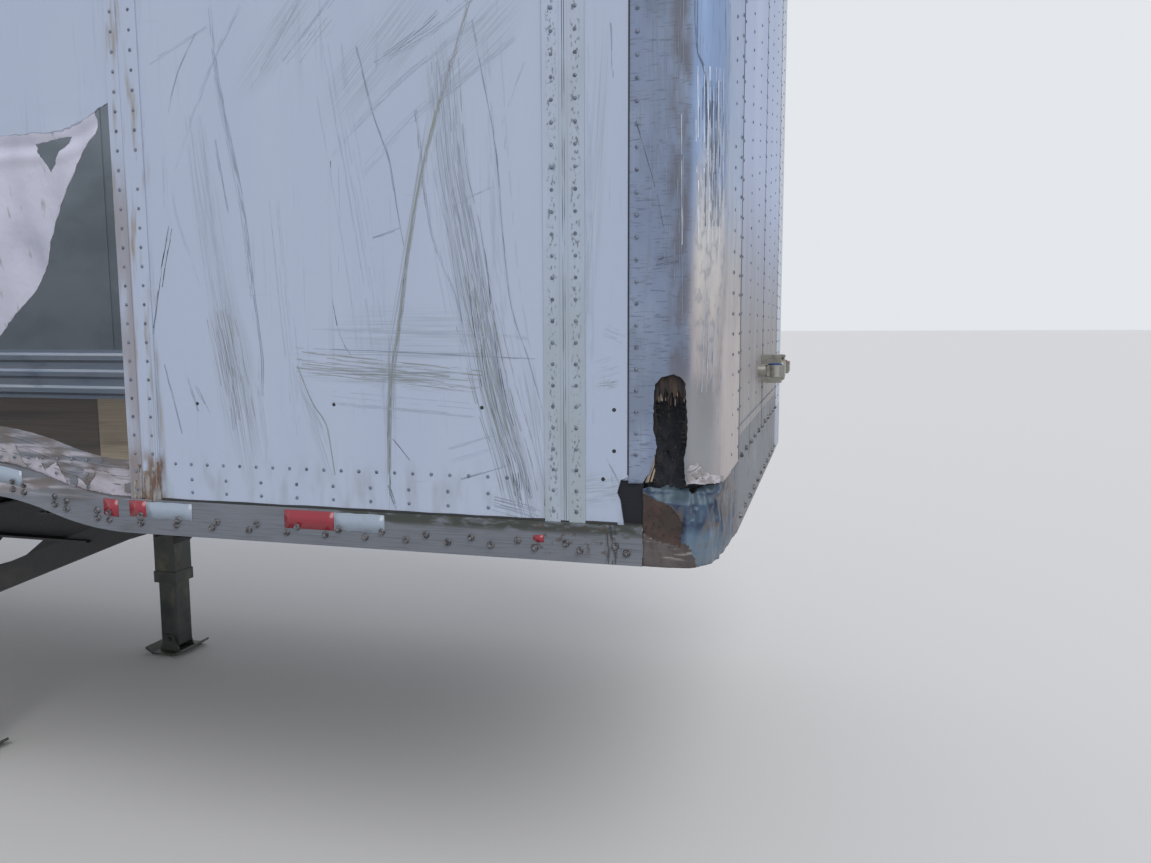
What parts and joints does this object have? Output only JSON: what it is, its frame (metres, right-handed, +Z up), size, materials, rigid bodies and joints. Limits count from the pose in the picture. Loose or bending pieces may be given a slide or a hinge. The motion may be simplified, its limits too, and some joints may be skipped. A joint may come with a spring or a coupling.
{
  "type": "semi trailer",
  "caption": "Long plate-walled van semi trailer with a wrecked front corner, standing on its landing legs, with swing rear doors and a tandem of twin wheels.",
  "frame": {"origin": "on the ground, midway between the sides and between the foremost and rearmost points", "axes": "+Z up, +Y rearward, nose to -Y, kerb side at -X"},
  "size_m": [2.591, 16.307, 4.115],
  "materials": {
    "white_plate": "white coil-coated aluminium skin, scratched",
    "rail_aluminium": "mill-finish extrusion, dirty",
    "corner_metal": "scuffed corner sheet",
    "casting_steel": "polished corner plate",
    "galvanised": "galvanised steel",
    "plywood": "plywood liner",
    "floor_wood": "laminated hardwood boards",
    "dark_steel": "black chassis paint, rust at the edges",
    "kingpin_steel": "greased forged steel",
    "tyre_rubber": "worn tyre",
    "wheel_paint": "white painted disc wheel",
    "flap_rubber": "moulded rubber",
    "tank_paint": "black tank paint",
    "lamp_red": "red lens",
    "hardware_zinc": "zinc plated steel",
    "hose_parts": "cast coupling"
  },
  "bodies": {
    "trailer": {"side_wall_left": "white_plate", "side_wall_right_front": "white_plate", "side_wall_right_rear": "white_plate", "torn_panel": "white_plate", "front_plates": "white_plate", "corner_skin_left": "corner_metal", "corner_skin_right": "corner_metal", "corner_casting_left": "casting_steel", "corner_casting_right": "casting_steel", "front_posts": "galvanised", "front_liner": "plywood", "corner_liner": "plywood", "front_bottom_rail": "rail_aluminium", "front_top_rail": "rail_aluminium", "bottom_rail_left": "rail_aluminium", "bottom_rail_right": "rail_aluminium", "top_rail_left": "rail_aluminium", "top_rail_right": "rail_aluminium", "roof_sheet": "rail_aluminium", "roof_bows": "galvanised", "floor_boards": "floor_wood", "scuff_bands": "galvanised", "crossmembers": "dark_steel", "upper_coupler": "dark_steel", "kingpin": "kingpin_steel", "landing_legs": "dark_steel", "landing_shoes": "dark_steel", "landing_braces": "dark_steel", "landing_crank": "dark_steel", "slider_rails": "dark_steel", "bogie_frame": "dark_steel", "springs": "dark_steel", "axles": "dark_steel", "brake_chambers": "dark_steel", "air_tank": "tank_paint", "mud_flaps": "flap_rubber", "rear_guard": "dark_steel", "rear_frame": "galvanised", "dock_bumpers": "flap_rubber", "hinge_butts_left": "hardware_zinc", "hinge_butts_right": "hardware_zinc", "lamps": "lamp_red", "hose_couplings": "hose_parts"},
    "rear_door_left": {"door_left": "white_plate", "hinge_straps_left": "hardware_zinc", "lock_rods_left": "hardware_zinc"},
    "rear_door_right": {"door_right": "white_plate", "hinge_straps_right": "hardware_zinc", "lock_rods_right": "hardware_zinc"},
    "twin_wheel_1_left": {"tyres_1_left": "tyre_rubber", "wheels_1_left": "wheel_paint"},
    "twin_wheel_1_right": {"tyres_1_right": "tyre_rubber", "wheels_1_right": "wheel_paint"},
    "twin_wheel_2_left": {"tyres_2_left": "tyre_rubber", "wheels_2_left": "wheel_paint"},
    "twin_wheel_2_right": {"tyres_2_right": "tyre_rubber", "wheels_2_right": "wheel_paint"}
  },
  "joints": [
    {"name": "door_left_hinge", "type": "hinge", "parent": "trailer", "child": "rear_door_left", "pos_m": [1.2785, 8.1395, 2.6], "axis": [0, 0, -1], "range_deg": [0, 265]},
    {"name": "door_right_hinge", "type": "hinge", "parent": "trailer", "child": "rear_door_right", "pos_m": [-1.2785, 8.1395, 2.6], "axis": [0, 0, 1], "range_deg": [0, 265]},
    {"name": "wheel_1_left_spin", "type": "hinge", "parent": "trailer", "child": "twin_wheel_1_left", "pos_m": [0.975, 4.5915, 0.505], "axis": [1, 0, 0], "continuous": true},
    {"name": "wheel_1_right_spin", "type": "hinge", "parent": "trailer", "child": "twin_wheel_1_right", "pos_m": [-0.975, 4.5915, 0.505], "axis": [1, 0, 0], "continuous": true},
    {"name": "wheel_2_left_spin", "type": "hinge", "parent": "trailer", "child": "twin_wheel_2_left", "pos_m": [0.975, 5.8365, 0.505], "axis": [1, 0, 0], "continuous": true},
    {"name": "wheel_2_right_spin", "type": "hinge", "parent": "trailer", "child": "twin_wheel_2_right", "pos_m": [-0.975, 5.8365, 0.505], "axis": [1, 0, 0], "continuous": true}
  ]
}
